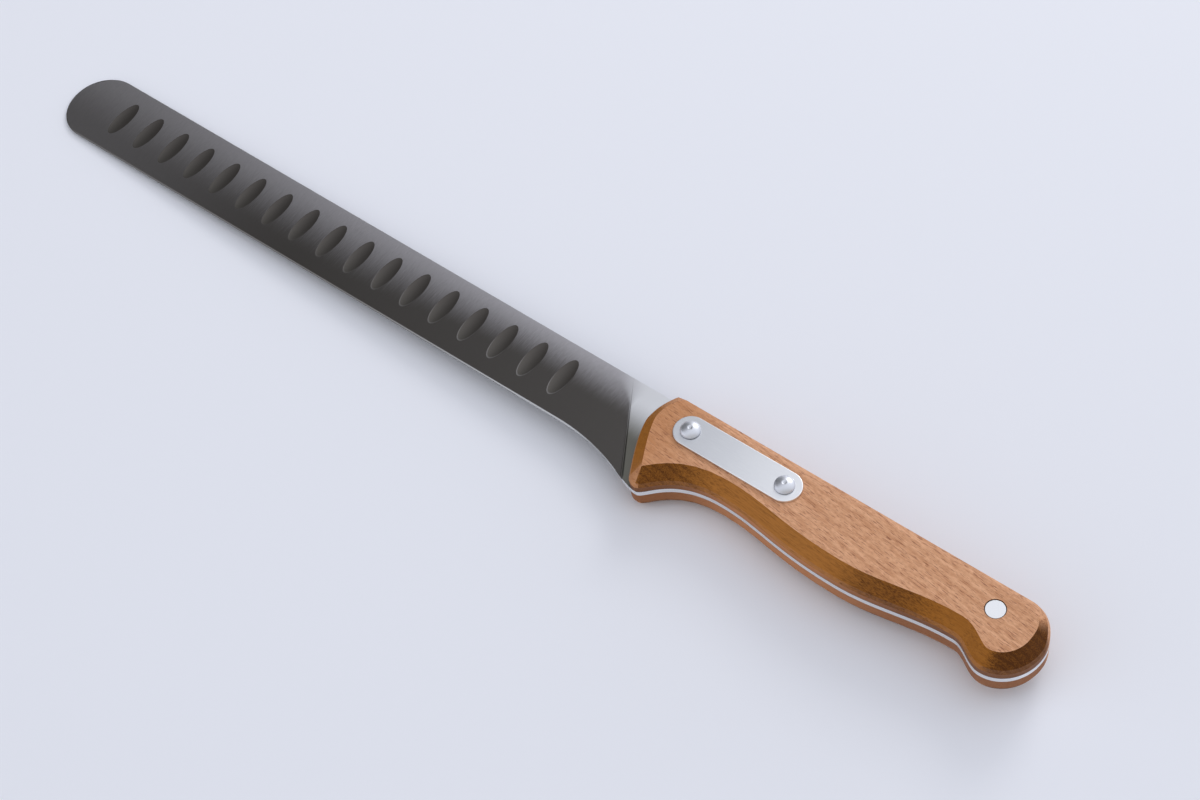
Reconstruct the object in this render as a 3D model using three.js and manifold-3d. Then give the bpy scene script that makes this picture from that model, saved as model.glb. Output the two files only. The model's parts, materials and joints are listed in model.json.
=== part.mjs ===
// Salmon knife: a long dimpled blade with a full tang, two beech scales, a bare name plate
// and three two-part rivets. Sizes are in millimetres.
// Knife axes: +X runs from the tip to the butt, +Y from the cutting edge to the spine, and
// Z across the thickness. X = 0 is where the blade ends just in front of the wood, Y = 0 the
// middle of the row of dimples and Z = 0 the blade's mid-plane. The near side, which carries
// the plate, is +Z.
import * as THREE from 'three';
import { mergeVertices } from 'three/addons/utils/BufferGeometryUtils.js';
import Module from 'manifold-3d';

// Blade
const bladeLength = 250;
const bladeThickness = 1.8;
const edgeThickness = 0.2;
const edgeBevelDegrees = 15;
const spineHeightAtTip = 12.7;
const spineHeightAtFront = 11.8;
const edgeDepthAtTip = 13.7;
const edgeDepthAtHeel = 13.05;
const heelLength = 24;
const heelPull = 23;
const heelEndPull = 6.9;
const grindEndAtSpine = 12.7;
const grindEndLean = 0.62;

// Dimples, one row on each side, the far row half a pitch behind the near one
const dimpleCount = 17;
const dimplePitch = 12.23;
const dimpleLength = 14.7;
const dimpleWidth = 5.6;
const dimpleDepth = 0.3;
const dimpleCurve = 3;
const firstDimpleFromTip = 22.8;

// Handle outline: how far each feature lies behind the blade and below the row of dimples.
// A pull is how far the curve holds its level on one side of a feature.
const handleLength = 140.9;
const handleThickness = 17;
const frontSlope = 5.1;
const frontTopLean = 1.8;
const frontTopPull = 3.3;
const frontApex = 1.1;
const frontApexHeight = 1;
const frontApexPull = 3.8;
const guardFront = 9.3;
const guardFrontDepth = 18.7;
const guardFrontRun = 4;
const guardFrontRise = 7.2;
const guardRound = 1.5;
const guardPlace = 12.9;
const guardDepth = 20.6;
const guardPull = 3.2;
const recessPlace = 37;
const recessDepth = 9.7;
const recessPullAhead = 18;
const recessPullBehind = 14;
const bellyPlace = 79.5;
const bellyDepth = 13.4;
const bellyPullAhead = 22;
const bellyPullBehind = 14;
const waistPlace = 117.3;
const waistDepth = 9;
const waistPullAhead = 14;
const waistPullBehind = 3.7;
const hookPlace = 128.6;
const hookDepth = 13.7;
const hookPull = 4.1;
const buttCornerLength = 10.4;

// Edges of the scales: upright beside the tang, then a shoulder and a broad bevel up to the
// flat face, but only a round along the spine
const nearWallHeight = 2.05;
const farWallHeight = 3.6;
const shoulderHeight = 1.5;
const shoulderInset = 0.55;
const bevelInset = 4.2;
const spineRound = 3;
const spineLead = 4;
const spineTurn = 0.9;

// Name plate
const plateLength = 45.2;
const plateWidth = 10.7;
const plateThickness = 0.8;
const plateEdge = 0.25;
const platePlace = 34.7;
const plateHeight = 1.85;
const plateRivetInset = 5.4;

// Rivets
const rearRivetPlace = 123.7;
const rearRivetHeight = 2.2;
const sleeveRadius = 2.4;
const pinRadius = 1.5;
const domeRadius = 3.15;
const domeHeight = 1.7;
const domeRim = 0.35;
const domeMarkRadius = 0.8;
const domeMarkDepth = 0.3;
const flushHeadRadius = 2.95;
const flushHeadThickness = 1.3;
const flushHeadSink = 0.15;
const headGap = 0.25;
const sleeveStop = 1.8;

// Clearance between neighbouring pieces
const fitGap = 0.15;

// How finely curves are cut
const curveSteps = 9;
const shortestEdge = 0.02;
const roundSteps = 20;
const dimpleSteps = 14;
const dimpleRings = 18;
const domeSteps = 4;

// Sizes that follow from the ones above
const tangHalf = bladeThickness / 2;
const handleHalf = handleThickness / 2;
const scaleFloor = tangHalf + fitGap;
const spineFall = (spineHeightAtTip - spineHeightAtFront) / bladeLength;
const spineAngle = -Math.atan(spineFall);
const grindAngle = Math.atan((tangHalf - edgeThickness / 2) / (spineHeightAtFront + guardDepth));
const edgeSlope = Math.tan(THREE.MathUtils.degToRad(edgeBevelDegrees));
const holeRadius = sleeveRadius + fitGap;
const counterboreRadius = flushHeadRadius + headGap;
const flushHeadSeat = handleHalf - flushHeadSink - flushHeadThickness;
const plateTop = handleHalf + fitGap + plateThickness;
const overcut = 2;
const sharpTurn = 0.5;

const wasm = await Module();
wasm.setup();

// A closed three.js geometry as a solid that can be cut.
function solid(geometry) {
  const bare = geometry.clone();
  bare.deleteAttribute('normal');
  bare.deleteAttribute('uv');
  const merged = mergeVertices(bare, 1e-4);
  const corners = merged.index.array;
  const kept = [];
  for (let i = 0; i < corners.length; i += 3) {
    const [a, b, c] = [corners[i], corners[i + 1], corners[i + 2]];
    if (a !== b && b !== c && c !== a) kept.push(a, b, c);
  }
  return new wasm.Manifold(new wasm.Mesh({
    numProp: 3,
    vertProperties: new Float32Array(merged.attributes.position.array),
    triVerts: new Uint32Array(kept),
  }));
}

function geometryOf(body) {
  const { vertProperties, triVerts } = body.getMesh();
  const geometry = new THREE.BufferGeometry();
  geometry.setAttribute('position', new THREE.Float32BufferAttribute(vertProperties, 3));
  geometry.setIndex([...triVerts]);
  geometry.computeVertexNormals();
  return geometry;
}

// The same shape on the other side of the blade.
function farSide(geometry) {
  const flipped = geometry.index ? geometry.toNonIndexed() : geometry.clone();
  const position = flipped.attributes.position;
  for (let i = 0; i < position.count; i += 3) {
    const [first, third] = [new THREE.Vector3(), new THREE.Vector3()];
    first.fromBufferAttribute(position, i);
    third.fromBufferAttribute(position, i + 2);
    position.setXYZ(i, third.x, third.y, third.z);
    position.setXYZ(i + 2, first.x, first.y, first.z);
  }
  return flipped.scale(1, 1, -1);
}

// Closed skin over a stack of outlines that all have the same number of corners.
function loft(rings) {
  const position = [];
  const add = (a, b, c) => {
    if (a.equals(b) || b.equals(c) || c.equals(a)) return;
    position.push(...a.toArray(), ...b.toArray(), ...c.toArray());
  };
  for (let r = 0; r + 1 < rings.length; r += 1) {
    const [low, high] = [rings[r], rings[r + 1]];
    low.forEach((corner, i) => {
      const next = (i + 1) % low.length;
      add(corner, low[next], high[next]);
      add(corner, high[next], high[i]);
    });
  }
  const cap = (ring, upward) => {
    const corners = ring.filter((p, i) => !p.equals(ring[(i + 1) % ring.length]));
    const flat = corners.map((p) => new THREE.Vector2(p.x, p.y));
    for (const [a, b, c] of THREE.ShapeUtils.triangulateShape(flat, [])) {
      if (upward) add(corners[a], corners[b], corners[c]);
      else add(corners[c], corners[b], corners[a]);
    }
  };
  cap(rings[0], false);
  cap(rings[rings.length - 1], true);
  const geometry = new THREE.BufferGeometry();
  geometry.setAttribute('position', new THREE.Float32BufferAttribute(position, 3));
  return geometry;
}

function cylinder(radius, low, high, x, y) {
  const geometry = new THREE.CylinderGeometry(radius, radius, high - low, roundSteps);
  return geometry.rotateX(Math.PI / 2).translate(x, y, (low + high) / 2);
}

function spineHeight(x) {
  return spineHeightAtFront - spineFall * x;
}

// The finger side of the handle, from under the guard to the butt, and round to the spine.
function traceGrip(shape) {
  const swing = (fromX, fromY, fromPull, toX, toY, toPull) => shape.bezierCurveTo(
    fromX + fromPull, -fromY, toX - toPull, -toY, toX, -toY);
  swing(guardPlace, guardDepth, guardPull, recessPlace, recessDepth, recessPullAhead);
  swing(recessPlace, recessDepth, recessPullBehind, bellyPlace, bellyDepth, bellyPullAhead);
  swing(bellyPlace, bellyDepth, bellyPullBehind, waistPlace, waistDepth, waistPullAhead);
  swing(waistPlace, waistDepth, waistPullBehind, hookPlace, hookDepth, hookPull);
  const hookLength = handleLength - hookPlace;
  shape.absellipse(hookPlace, 0, hookLength, hookDepth, -Math.PI / 2, 0, false);
  const cornerStart = handleLength - buttCornerLength;
  const cornerHeight = spineHeight(cornerStart);
  shape.absellipse(cornerStart, 0, buttCornerLength, cornerHeight, 0, Math.PI / 2, false);
}

function bladeOutline() {
  const tipRadius = (spineHeightAtTip + edgeDepthAtTip) / 2;
  const tipMiddle = (spineHeightAtTip - edgeDepthAtTip) / 2;
  const shape = new THREE.Shape();
  shape.absarc(tipRadius - bladeLength, tipMiddle, tipRadius, Math.PI / 2, Math.PI * 1.5, false);
  shape.lineTo(-heelLength, -edgeDepthAtHeel);
  shape.bezierCurveTo(
    heelPull - heelLength, -edgeDepthAtHeel,
    guardPlace - heelEndPull, -guardDepth, guardPlace, -guardDepth);
  traceGrip(shape);
  shape.closePath();
  return shape;
}

function scaleOutline() {
  const shape = new THREE.Shape();
  const top = spineHeight(frontSlope);
  shape.moveTo(frontSlope, top);
  shape.bezierCurveTo(
    frontSlope - frontTopLean, top - frontTopPull,
    frontApex, frontApexHeight + frontApexPull, frontApex, frontApexHeight);
  shape.bezierCurveTo(
    frontApex, frontApexHeight - frontApexPull,
    guardFront - guardFrontRun, guardFrontRise - guardFrontDepth, guardFront, -guardFrontDepth);
  shape.bezierCurveTo(
    guardFront + guardRound / 2, guardRound / 2 - guardDepth,
    guardPlace - guardRound, -guardDepth, guardPlace, -guardDepth);
  traceGrip(shape);
  shape.lineTo(frontSlope + spineLead, spineHeight(frontSlope + spineLead));
  shape.closePath();
  return shape;
}

// Corners of an outline, once each, counter-clockwise.
function cornersOf(shape) {
  const points = shape.getPoints(curveSteps);
  const corners = points.filter((p, i) => (
    p.distanceTo(points[(i + 1) % points.length]) > shortestEdge));
  return THREE.ShapeUtils.isClockWise(corners) ? corners.reverse() : corners;
}

// How much an edge faces the spine: 0 on the finger side, front and butt, 1 along the spine.
function spineShare(from, to) {
  const run = to.clone().sub(from).normalize();
  return THREE.MathUtils.smoothstep(-run.x, 0, spineTurn);
}

function crossing(a, b, c, d) {
  const [r, s] = [b.clone().sub(a), d.clone().sub(c)];
  const turn = r.cross(s);
  if (Math.abs(turn) < 1e-9) return null;
  const gap = c.clone().sub(a);
  const [t, u] = [gap.cross(s) / turn, gap.cross(r) / turn];
  if (t < 0 || t > 1 || u < 0 || u > 1) return null;
  return a.clone().addScaledVector(r, t);
}

// The outline drawn in by one distance for each side. Where the inner line would loop over
// itself at a tight corner, the loop shrinks to the point where its two ends cross.
function drawnIn(corners, distances) {
  const count = corners.length;
  const inner = corners.map((corner, i) => {
    const [before, after] = [corners[(i + count - 1) % count], corners[(i + 1) % count]];
    const [into, out] = [corner.clone().sub(before), after.clone().sub(corner)];
    const [n, m] = [into, out].map((v) => new THREE.Vector2(-v.y, v.x).normalize());
    const [d, e] = [distances[(i + count - 1) % count], distances[i]];
    const turn = n.cross(m);
    if (Math.abs(turn) < sharpTurn) {
      return corner.clone().addScaledVector(n.add(m).normalize(), (d + e) / 2);
    }
    const shift = new THREE.Vector2((d * m.y - e * n.y) / turn, (e * n.x - d * m.x) / turn);
    return corner.clone().add(shift);
  });
  const reach = Math.floor(count / 3);
  for (let i = 0; i < count; i += 1) {
    for (let span = reach; span > 1; span -= 1) {
      const at = (k) => inner[(i + k) % count];
      const meeting = crossing(at(0), at(1), at(span), at(span + 1));
      if (meeting) {
        for (let k = 1; k <= span; k += 1) at(k).copy(meeting);
        break;
      }
    }
  }
  return inner;
}

// One half of the handle, as a skin over its outline at four heights.
function scaleGeometry(wallHeight) {
  const corners = cornersOf(scaleOutline());
  const count = corners.length;
  const shares = corners.map((p, i) => spineShare(p, corners[(i + 1) % count]));
  const insets = shares.map((s) => THREE.MathUtils.lerp(bevelInset, spineRound, s));
  const inner = drawnIn(corners, insets);
  const spineward = corners.map((p, i) => Math.min(shares[i], shares[(i + count - 1) % count]));
  const wallTop = scaleFloor + wallHeight;
  const shoulderTop = wallTop + shoulderHeight;
  const roundStart = handleHalf - spineRound;
  const roundMiddle = handleHalf - spineRound * (1 - Math.SQRT1_2);
  const ring = (inward, height) => corners.map((p, i) => {
    const place = p.clone().lerp(inner[i], inward(spineward[i]));
    return new THREE.Vector3(place.x, place.y, height(spineward[i]));
  });
  const between = (bevelled, rounded) => (share) => (
    THREE.MathUtils.lerp(bevelled, rounded, share));
  return loft([
    ring(() => 0, () => scaleFloor),
    ring(() => 0, between(wallTop, roundStart)),
    ring(between(shoulderInset / bevelInset, 1 - Math.SQRT1_2), between(shoulderTop, roundMiddle)),
    ring(() => 1, () => handleHalf),
  ]);
}

// Wedge that grinds one face of the blade thinner from the spine to the edge. It stops on a
// slanting line a little in front of the wood.
function grindCutter() {
  const depth = spineHeightAtFront + guardDepth + overcut;
  const shape = new THREE.Shape();
  shape.moveTo(-bladeLength - overcut, overcut);
  shape.lineTo(-bladeLength - overcut, -depth);
  shape.lineTo(grindEndLean * depth - grindEndAtSpine, -depth);
  shape.lineTo(-grindEndLean * overcut - grindEndAtSpine, overcut);
  shape.closePath();
  const geometry = new THREE.ExtrudeGeometry(shape, { depth: handleHalf, bevelEnabled: false });
  geometry.rotateX(grindAngle).rotateZ(spineAngle);
  return geometry.translate(0, spineHeightAtFront, tangHalf);
}

// The cutting edge, from half-way round the tip to where the grind ends at the heel.
function edgeLine() {
  const points = cornersOf(bladeOutline());
  const heelEnd = grindEndLean * (spineHeightAtFront + guardDepth) - grindEndAtSpine;
  return points.filter((p) => p.y < tipTurn() && p.x < heelEnd);
}

function tipTurn() {
  return (spineHeightAtTip - edgeDepthAtTip) / 2 + spineHeightAtTip / 2;
}

// Strip that bevels one side of the cutting edge.
function edgeCutter() {
  const line = edgeLine();
  const reach = tangHalf / edgeSlope;
  const sections = line.map((p, i) => {
    const run = line[Math.min(i + 1, line.length - 1)].clone().sub(line[Math.max(i - 1, 0)]);
    const inward = new THREE.Vector2(-run.y, run.x).normalize();
    const at = (d, z) => new THREE.Vector3(p.x + inward.x * d, p.y + inward.y * d, z);
    const rise = (d) => edgeThickness / 2 + d * edgeSlope;
    return [at(-overcut, rise(-overcut)), at(reach, rise(reach)), at(reach, handleHalf),
      at(-overcut, handleHalf)];
  });
  const position = [];
  const add = (...corners) => corners.forEach((p) => position.push(p.x, p.y, p.z));
  for (let i = 0; i + 1 < sections.length; i += 1) {
    const [a, b] = [sections[i], sections[i + 1]];
    for (let k = 0; k < 4; k += 1) {
      const next = (k + 1) % 4;
      add(a[k], b[next], b[k]);
      add(a[k], a[next], b[next]);
    }
  }
  const [first, last] = [sections[0], sections[sections.length - 1]];
  add(first[2], first[1], first[0], first[3], first[2], first[0]);
  add(last[0], last[1], last[2], last[0], last[2], last[3]);
  const geometry = new THREE.BufferGeometry();
  geometry.setAttribute('position', new THREE.Float32BufferAttribute(position, 3));
  return geometry;
}

// Long oval hollow, as a slice of an ellipsoid that dips into the ground face.
function dimpleCutter(x) {
  const tall = dimpleCurve;
  const share = Math.sqrt(1 - ((tall - dimpleDepth) / tall) ** 2);
  const geometry = new THREE.SphereGeometry(1, dimpleSteps, dimpleRings).rotateX(Math.PI / 2);
  geometry.scale(dimpleWidth / 2 / share, dimpleLength / 2 / share, tall);
  geometry.translate(0, 0, tall - dimpleDepth).rotateX(grindAngle);
  return geometry.translate(x, 0, tangHalf - Math.tan(grindAngle) * spineHeight(x));
}

const plateRivets = [-1, 1].map((side) => ({
  x: platePlace + side * (plateLength / 2 - plateRivetInset),
  y: plateHeight,
}));
const rearRivet = { x: rearRivetPlace, y: rearRivetHeight };

function bladeGeometry() {
  const stock = new THREE.ExtrudeGeometry(bladeOutline(), {
    depth: bladeThickness, bevelEnabled: false, curveSegments: curveSteps,
  }).translate(0, 0, -tangHalf);
  let body = solid(stock);
  for (const cutter of [grindCutter(), edgeCutter()]) {
    body = body.subtract(solid(cutter)).subtract(solid(farSide(cutter)));
  }
  const firstDimple = firstDimpleFromTip - bladeLength;
  for (let i = 0; i < dimpleCount; i += 1) {
    const x = firstDimple + i * dimplePitch;
    body = body.subtract(solid(dimpleCutter(x)));
    if (i + 1 < dimpleCount) {
      body = body.subtract(solid(farSide(dimpleCutter(x + dimplePitch / 2))));
    }
  }
  for (const { x, y } of [...plateRivets, rearRivet]) {
    body = body.subtract(solid(cylinder(holeRadius, -tangHalf - 1, tangHalf + 1, x, y)));
  }
  return geometryOf(body);
}

// A scale bored for the three rivets, with counterbores where the heads lie flush.
function boredScale(side, wallHeight, flushRivets) {
  const shell = scaleGeometry(wallHeight);
  let body = solid(side > 0 ? shell : farSide(shell));
  const bore = (radius, low, high, { x, y }) => {
    const [a, b] = side > 0 ? [low, high] : [-high, -low];
    body = body.subtract(solid(cylinder(radius, a, b, x, y)));
  };
  for (const rivet of [...plateRivets, rearRivet]) {
    bore(holeRadius, 0, handleHalf + 1, rivet);
  }
  for (const rivet of flushRivets) {
    bore(counterboreRadius, flushHeadSeat - fitGap, handleHalf + 1, rivet);
  }
  return geometryOf(body);
}

function plateGeometry() {
  const radius = plateWidth / 2;
  const straight = plateLength / 2 - radius;
  const shape = new THREE.Shape();
  shape.absarc(straight, 0, radius, -Math.PI / 2, Math.PI / 2, false);
  shape.absarc(-straight, 0, radius, Math.PI / 2, Math.PI * 1.5, false);
  shape.closePath();
  const sheet = new THREE.ExtrudeGeometry(shape, {
    depth: plateThickness - plateEdge, bevelThickness: plateEdge, bevelSize: plateEdge,
    bevelOffset: -plateEdge, bevelSegments: 1, curveSegments: roundSteps / 2,
  });
  const block = new THREE.BoxGeometry(plateLength * 2, plateLength, plateThickness);
  let body = solid(sheet).intersect(solid(block.translate(0, 0, plateThickness / 2)));
  for (const { x } of plateRivets) {
    body = body.subtract(solid(cylinder(holeRadius, -1, plateThickness + 1, x - platePlace, 0)));
  }
  return geometryOf(body);
}

// A turned piece about the Z axis from its half profile.
function turned(profile) {
  const points = profile.map(([radius, height]) => new THREE.Vector2(radius, height));
  return geometryOf(solid(new THREE.LatheGeometry(points, roundSteps).rotateX(Math.PI / 2)));
}

// Half profile of a rivet pin, from its foot inside the sleeve to the top of its head.
function pinFoot() {
  return -flushHeadSeat + fitGap;
}

function domedPin() {
  const seat = plateTop + fitGap;
  const rise = domeHeight - domeRim;
  const crown = Array.from({ length: domeSteps }, (_, step) => {
    const angle = step / domeSteps * Math.PI / 2;
    return [domeRadius * Math.cos(angle), seat + domeRim + rise * Math.sin(angle)];
  });
  return turned([
    [0, pinFoot()], [pinRadius, pinFoot()], [pinRadius, seat], [domeRadius, seat],
    ...crown.filter(([radius]) => radius > domeMarkRadius),
    [domeMarkRadius, seat + domeHeight],
    [0, seat + domeHeight - domeMarkDepth],
  ]);
}

function flushPin() {
  const top = handleHalf - flushHeadSink;
  return turned([
    [0, pinFoot()], [pinRadius, pinFoot()], [pinRadius, flushHeadSeat],
    [flushHeadRadius, flushHeadSeat], [flushHeadRadius, top], [0, top],
  ]);
}

// Far half of a rivet: a flush head with a tube that the pin is pressed into.
function sleeve() {
  const bore = pinRadius + fitGap;
  const mouth = handleHalf - sleeveStop;
  const top = flushHeadSink - handleHalf;
  return turned([
    [0, top], [flushHeadRadius, top], [flushHeadRadius, -flushHeadSeat],
    [sleeveRadius, -flushHeadSeat], [sleeveRadius, mouth], [bore, mouth],
    [bore, -flushHeadSeat], [0, -flushHeadSeat],
  ]);
}

function steel(color, roughness) {
  return new THREE.MeshStandardMaterial({ color, roughness, metalness: 1 });
}

function beech() {
  return new THREE.MeshStandardMaterial({ color: 0xc08a5c, roughness: 0.55, metalness: 0 });
}

function piece(name, geometry, material, x = 0, y = 0, z = 0) {
  const mesh = new THREE.Mesh(geometry, material);
  mesh.name = name;
  mesh.position.set(x, y, z);
  return mesh;
}

const blade = piece('blade', bladeGeometry(), steel(0x7d7d7a, 0.35));
const nearScale = piece(
  'near_scale', boredScale(1, nearWallHeight, [rearRivet]), beech());
const farScale = piece(
  'far_scale', boredScale(-1, farWallHeight, [...plateRivets, rearRivet]), beech());

const handle = new THREE.Group();
handle.add(nearScale, farScale);
handle.add(piece('name_plate', plateGeometry(), steel(0xc9ccd2, 0.3),
  platePlace, plateHeight, handleHalf + fitGap));
const rivets = [
  ['front_rivet', plateRivets[0], domedPin],
  ['middle_rivet', plateRivets[1], domedPin],
  ['rear_rivet', rearRivet, flushPin],
];
for (const [name, { x, y }, pin] of rivets) {
  handle.add(piece(`${name}_pin`, pin(), steel(0xd5d8de, 0.25), x, y));
  handle.add(piece(`${name}_sleeve`, sleeve(), steel(0xc4c6ca, 0.35), x, y));
}

// The blade outweighs the handle, so a knife lying on its side tips forward until its tip
// meets the table.
function lowest(mesh, angle) {
  const position = mesh.geometry.attributes.position;
  let low = Infinity;
  for (let i = 0; i < position.count; i += 1) {
    low = Math.min(low, position.getX(i) * Math.sin(angle) + position.getZ(i) * Math.cos(angle));
  }
  return low;
}

function restingAngle() {
  let [level, steep] = [0, Math.PI / 8];
  for (let step = 0; step < 40; step += 1) {
    const angle = (level + steep) / 2;
    if (lowest(blade, angle) > lowest(farScale, angle)) level = angle;
    else steep = angle;
  }
  return level;
}

const knife = new THREE.Group();
knife.add(blade, handle);
knife.rotation.y = -restingAngle();
knife.updateMatrixWorld(true);
const reach = new THREE.Box3().setFromObject(knife, true);
const middle = reach.getCenter(new THREE.Vector3());
knife.position.set(-middle.x, -middle.y, -reach.min.z);

export default knife;
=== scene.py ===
"""Looks of the salmon knife: a dimpled blade with a full tang, two beech scales, a bare plate
and three rivets.

Pieces are modelled in millimetres in the knife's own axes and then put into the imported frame.
+X runs from the tip to the butt, +Y from the cutting edge to the spine, and +Z points to the
near side, which carries the plate. X = 0 is where the blade ends just in front of the wood,
Y = 0 the middle of the row of dimples and Z = 0 the blade's mid-plane.
"""
import json
import math

import bmesh
import bpy
from mathutils import Matrix, Vector


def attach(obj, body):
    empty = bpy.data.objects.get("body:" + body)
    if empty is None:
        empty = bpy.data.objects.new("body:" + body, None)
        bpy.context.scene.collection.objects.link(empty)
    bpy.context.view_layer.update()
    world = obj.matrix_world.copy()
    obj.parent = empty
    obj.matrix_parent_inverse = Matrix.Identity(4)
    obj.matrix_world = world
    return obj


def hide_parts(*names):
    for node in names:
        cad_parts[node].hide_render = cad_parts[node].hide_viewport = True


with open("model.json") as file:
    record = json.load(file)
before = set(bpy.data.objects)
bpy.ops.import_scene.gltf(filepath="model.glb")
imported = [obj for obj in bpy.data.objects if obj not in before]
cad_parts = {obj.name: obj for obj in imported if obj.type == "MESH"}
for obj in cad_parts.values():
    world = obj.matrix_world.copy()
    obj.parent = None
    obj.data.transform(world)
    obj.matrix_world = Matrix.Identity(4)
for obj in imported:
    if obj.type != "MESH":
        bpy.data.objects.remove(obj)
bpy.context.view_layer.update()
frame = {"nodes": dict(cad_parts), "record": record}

# Blade, in millimetres as in the part's source
BLADE_LENGTH = 250
BLADE_HALF = 0.9
SPINE_AT_TIP = 12.7
SPINE_AT_FRONT = 11.8
EDGE_AT_TIP = 13.7
EDGE_AT_HEEL = 13.05
HEEL = 24
HEEL_PULL = 23
HEEL_END_PULL = 6.9
GRIND_END = 12.7
GRIND_LEAN = 0.62
EDGE_HALF = 0.1
EDGE_BEVEL = 0.45
SPINE_FALL = (SPINE_AT_TIP - SPINE_AT_FRONT) / BLADE_LENGTH

# Details of the blade that only the visual mesh has: the slope at the end of the grind, and the
# honed bevel, which is thinned along the edge and narrows towards the heel
GRIND_RUN_OUT = 9
EDGE_THINNING = 0.35
HEEL_CLEAR = 4
HEEL_FADE = 22
HEEL_NARROWING = 0.8
TANG_RIM_START = -40

# How much a face's normal points along Z where the face is flat, slanted, steep or upright
FLAT = 0.99
SLANTED = 0.8
STEEP = 0.6
UPRIGHT = 0.1

# Dimples
DIMPLES = 17
DIMPLE_PITCH = 12.23
DIMPLE_LENGTH = 14.7
DIMPLE_WIDTH = 5.6
DIMPLE_DEPTH = 0.3
DIMPLE_BALL = 10
FIRST_DIMPLE = 22.8 - BLADE_LENGTH

# Handle: place and depth of each feature of the grip, with the pulls of the curve round it
GUARD = (12.9, -20.6)
GUARD_PULL = 3.2
RECESS = (37, -9.7)
RECESS_PULLS = (18, 14)
BELLY = (79.5, -13.4)
BELLY_PULLS = (22, 14)
WAIST = (117.3, -9)
WAIST_PULLS = (14, 3.7)
HOOK = (128.6, -13.7)
HOOK_PULL = 4.1
BUTT = 140.9
BUTT_CORNER = 10.4
HANDLE_HALF = 8.5
REST_POINT = (80, 1)

# Plate and rivets
PLATE_MIDDLE = (34.7, 1.85)
PLATE_LENGTH = 45.2
PLATE_WIDTH = 10.7
PLATE_THICKNESS = 0.8
PLATE_EDGE = 0.25
RIVET_SPACING = 34.4
REAR_RIVET = (123.7, 2.2)
PIN_RADIUS = 1.5
SLEEVE_RADIUS = 2.4
DOME_RADIUS = 3.15
DOME_HEIGHT = 1.7
DOME_RIM = 0.35
DOME_MARK = 0.8
DOME_MARK_DEPTH = 0.15
DOME_MARK_LIP = 0.02
HEAD_RADIUS = 2.95
HEAD_THICKNESS = 1.3
HEAD_SINK = 0.15
SLEEVE_STOP = 1.8
FIT_GAP = 0.15

# How finely the visual meshes are cut
OUTLINE_STEPS = 24
ROUND_STEPS = 64
DOME_STEPS = 9
DIMPLE_RINGS = 72

# Widths of the rounded edges, in millimetres, and the turns, in degrees, from which edges are
# rounded and from which they stay sharp in the shading
BLADE_ROUND = 0.14
RIVET_ROUND = 0.1
SCALE_ROUND = 0.6
ROUNDED_TURN = 40
SCALE_ROUNDED_TURN = 15
BLADE_SHARP_TURN = 6
PLATE_SHARP_TURN = 30
SHARP_TURN = 35

# Steel tones, here and below as linear colours
# Spine, edge and tip tones: painted reflection and painted shade across and along the blade
SPINE_STEEL = (0.59, 0.57, 0.59, 1)
EDGE_STEEL = (0.106, 0.098, 0.09, 1)
TIP_STEEL = (0.40, 0.385, 0.39, 1)
SCRATCH_STEEL = (0.08, 0.075, 0.07, 1)
# Dimple tones: painted shade, a little lighter towards their feet
HOLLOW_TOP_STEEL = (0.099, 0.090, 0.082, 1)
HOLLOW_FOOT_STEEL = (0.114, 0.106, 0.095, 1)
# Painted highlight on the dimples' lips
LIP_HIGHLIGHT_STEEL = (0.36, 0.35, 0.35, 1)
# Painted highlight between the grind and the wood, and painted reflection of the handle by the guard
RICASSO_HIGHLIGHT_STEEL = (0.86, 0.865, 0.88, 1)
HANDLE_REFLECTION_STEEL = (0.17, 0.165, 0.14, 1)
# Honed steel from painted shade to painted highlight
SHADED_HONED_STEEL = (0.20, 0.19, 0.18, 1)
HONED_STEEL = (0.93, 0.94, 0.96, 1)

# Where along the knife the steel's painted reflections, painted shade and painted highlights
# begin and end to change
HEEL_DARKENS = (-120, -30)
TIP_LIGHTENS = (-BLADE_LENGTH, -130)
LIP_BRIGHTENS = (-190, -20)
EDGE_BRIGHTENS = (-120, -20)
RIM_BRIGHTENS = (-6, 8)
PLATE_BRIGHTENS = (16, 56)

# Tones of the plate's lines at its front and rear end, the rear lighter with painted light, and
# of the rivets
FRONT_PLATE = ((0.68, 0.69, 0.71, 1), (0.80, 0.81, 0.83, 1))
REAR_PLATE = ((0.88, 0.885, 0.90, 1), (0.97, 0.975, 0.98, 1))
POLISHED_RIVET = (0.74, 0.755, 0.80)
SATIN_RIVET = (0.90, 0.91, 0.92)

# Beech: turn of the grain across the handle, in degrees, and growth rings to the millimetre
GRAIN_TURN = 7
RING_TURNS = 2.9

# Tones of the flat faces, of the upright walls in painted shade and in painted light, and of
# the oiled bevels, whose darkness is partly painted shade
BROWN_BEECH = (0.60, 0.295, 0.155, 1)
PALE_BEECH = (0.80, 0.445, 0.260, 1)
FRONT_BEECH = (0.50, 0.21, 0.078, 1)
RING_BEECH = (0.36, 0.155, 0.07, 1)
FLECK_BEECH = (0.27, 0.10, 0.055, 1)
PORE_BEECH = (0.31, 0.125, 0.065, 1)
# Wall tones: painted shade, and lighter where painted light falls on the middle of the grip
NEAR_WALL = ((0.145, 0.056, 0.025, 1), (0.44, 0.175, 0.066, 1))
FAR_WALL = ((0.25, 0.093, 0.036, 1), (0.47, 0.190, 0.076, 1))
# Bevel tones: oiled, and darker with painted shade
PALE_OIL_AND_SHADE = (0.43, 0.165, 0.026, 1)
DEEP_OIL_AND_SHADE = (0.29, 0.100, 0.012, 1)
# Bevel tone where painted light falls on the middle of the grip
LIT_OIL = (0.50, 0.205, 0.050, 1)
DARK_OIL_AND_SHADE = (0.085, 0.026, 0.004, 1)

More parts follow.
